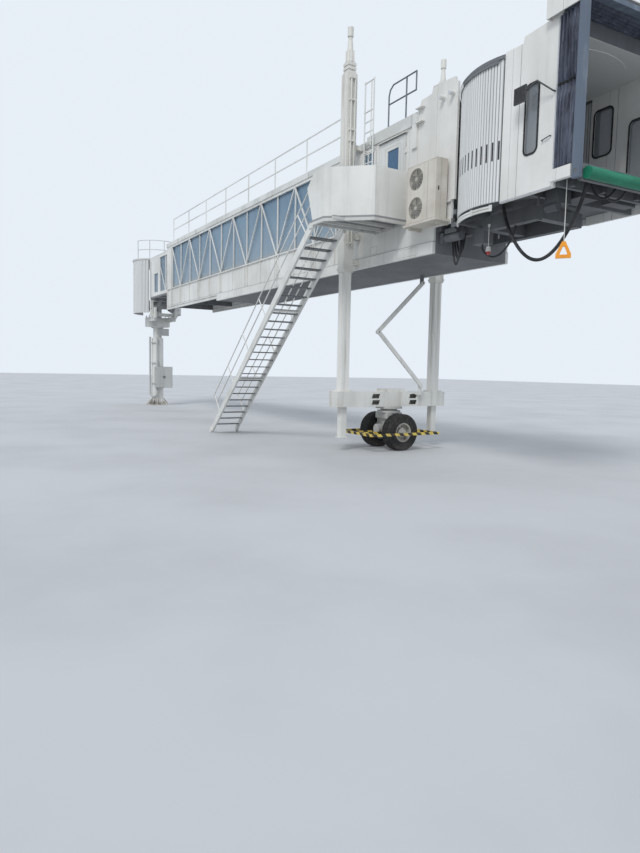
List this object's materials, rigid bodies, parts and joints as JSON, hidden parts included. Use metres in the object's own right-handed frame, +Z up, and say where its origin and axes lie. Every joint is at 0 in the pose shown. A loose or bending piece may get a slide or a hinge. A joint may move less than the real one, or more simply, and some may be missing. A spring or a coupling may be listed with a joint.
{
  "type": "jet bridge",
  "caption": "Apron drive boarding bridge: pedestal rotunda, glazed telescoping tunnel, lift carriage on a steered wheel pair, service stair, turning cab with folding canopy.",
  "frame": {"origin": "centre of the pedestal's base plate on the ground", "axes": "+X from the rotunda along the tunnel to the cab, +Z up, so -Y is the side with the service stair"},
  "size_m": [33.7922, 5.2151, 11.47],
  "materials": {
    "white_paint": "satin",
    "roof_paint": "satin",
    "slat_paint": "satin",
    "grey_paint": "satin",
    "underside_grey": "matt",
    "dark_metal": "matt",
    "hazard_paint": "satin",
    "galvanised": "matt",
    "window_glass": "clear",
    "bellows_fabric": "matt",
    "front_rubber": "matt",
    "green_rubber": "matt",
    "cable_rubber": "matt",
    "tyre_rubber": "matt",
    "orange_plastic": "matt",
    "beige_plastic": "matt"
  },
  "bodies": {
    "pedestal": {"pedestal_column": "white_paint", "pedestal_services": "grey_paint", "rotunda_floor": "underside_grey", "rotunda_roof": "roof_paint", "corridor_walls": "white_paint"},
    "rotunda_frame": {"swing_yoke": "white_paint", "swing_portal": "white_paint", "rotunda_curtain_near": "slat_paint", "rotunda_curtain_far": "slat_paint"},
    "inner_tunnel": {"inner_floor": "underside_grey", "inner_side_near": "white_paint", "inner_side_far": "white_paint", "inner_glass": "window_glass", "inner_roof": "roof_paint", "vestibule_bellows": "bellows_fabric"},
    "outer_tunnel": {"outer_floor": "underside_grey", "outer_side_near": "white_paint", "outer_side_far": "white_paint", "outer_glass": "window_glass", "outer_roof": "roof_paint", "front_wall_near": "white_paint", "front_wall_far": "white_paint", "roof_rails": "white_paint", "roof_guard": "galvanised", "lift_towers": "white_paint", "landing_floor": "galvanised", "landing_parapet": "white_paint", "air_conditioner": "beige_plastic", "cab_slew_ring": "grey_paint", "tunnel_cables": "cable_rubber"},
    "carriage": {"lift_columns": "white_paint", "carriage_beam": "white_paint"},
    "bogie": {"bogie_frame": "grey_paint", "bumper_frame": "hazard_paint"},
    "wheel_front": {"tyre_front": "tyre_rubber", "rim_front": "white_paint"},
    "wheel_rear": {"tyre_rear": "tyre_rubber", "rim_rear": "white_paint"},
    "cab": {"cab_floor": "underside_grey", "cab_walls": "white_paint", "cab_roof": "dark_metal", "cab_glazing": "window_glass", "cab_curtain_near": "slat_paint", "cab_curtain_far": "slat_paint", "cab_fittings": "dark_metal", "cab_cables": "cable_rubber", "pendant_handle": "orange_plastic", "cab_bumper": "green_rubber"},
    "canopy": {"canopy_frame": "front_rubber", "canopy_bellows": "bellows_fabric"},
    "stair": {"stair_stringers": "white_paint", "stair_treads": "galvanised", "stair_rails": "white_paint"},
    "door": {"service_door": "white_paint", "door_glass": "window_glass"},
    "arm_upper": {"cable_arm_upper": "white_paint"},
    "arm_lower": {"cable_arm_lower": "white_paint"}
  },
  "joints": [
    {"name": "rotunda_slew", "type": "hinge", "parent": "pedestal", "child": "rotunda_frame", "pos_m": [0, 0, 5], "axis": [0, 0, 1], "range_deg": [-110, 65], "deforming": ["rotunda_curtain_near", "rotunda_curtain_far"]},
    {"name": "tunnel_pitch", "type": "hinge", "parent": "rotunda_frame", "child": "inner_tunnel", "pos_m": [1.5, 0, 5.6], "axis": [0, -1, 0], "range_deg": [-5.5, 2], "deforming": ["vestibule_bellows"]},
    {"name": "telescope", "type": "slide", "parent": "inner_tunnel", "child": "outer_tunnel", "axis": [1, 0, 0], "range_m": [-3.1, 9]},
    {"name": "lift", "type": "slide", "parent": "outer_tunnel", "child": "carriage", "axis": [0, 0, -1], "range_m": [-2.2, 0.9]},
    {"name": "bogie_steer", "type": "hinge", "parent": "carriage", "child": "bogie", "pos_m": [23.1, 0, 1.2], "axis": [0, 0, 1], "range_deg": [-180, 20]},
    {"name": "wheel_spin_front", "type": "hinge", "parent": "bogie", "child": "wheel_front", "pos_m": [23.65, 0, 0.53], "axis": [1, 0, 0], "continuous": true},
    {"name": "wheel_spin_rear", "type": "hinge", "parent": "bogie", "child": "wheel_rear", "pos_m": [22.55, 0, 0.53], "axis": [1, 0, 0], "continuous": true},
    {"name": "cab_rotate", "type": "hinge", "parent": "outer_tunnel", "child": "cab", "pos_m": [28.2, 0, 5.85], "axis": [0, 0, 1], "range_deg": [-39, 45], "deforming": ["cab_curtain_near", "cab_curtain_far"]},
    {"name": "canopy_tilt", "type": "hinge", "parent": "cab", "child": "canopy", "pos_m": [30.71655, -0.13189, 5.85], "axis": [0.0523, 0.9986, 0], "range_deg": [0, 14], "deforming": ["canopy_bellows"]},
    {"name": "stair_fold", "type": "hinge", "parent": "outer_tunnel", "child": "stair", "pos_m": [23.755, -2.68, 5.93], "axis": [0, -1, 0], "range_deg": [-13, 6]},
    {"name": "door_swing", "type": "hinge", "parent": "outer_tunnel", "child": "door", "pos_m": [25.146, -1.278, 7], "axis": [0, 0, 1], "range_deg": [0, 90]},
    {"name": "arm_upper_swing", "type": "hinge", "parent": "outer_tunnel", "child": "arm_upper", "pos_m": [23.455, 0.85, 4.88], "axis": [1, 0, 0], "range_deg": [-36, 14]},
    {"name": "arm_lower_swing", "type": "hinge", "parent": "carriage", "child": "arm_lower", "pos_m": [23.515, 0.85, 1.87], "axis": [1, 0, 0], "range_deg": [-14, 36]}
  ],
  "couplings": [
    {"joint": "lift", "follows": "tunnel_pitch", "m_per_rad": 21.6},
    {"joint": "stair_fold", "follows": "tunnel_pitch", "ratio": 2.1},
    {"joint": "arm_upper_swing", "follows": "tunnel_pitch", "ratio": 6.3},
    {"joint": "arm_lower_swing", "follows": "tunnel_pitch", "ratio": -6.3}
  ]
}
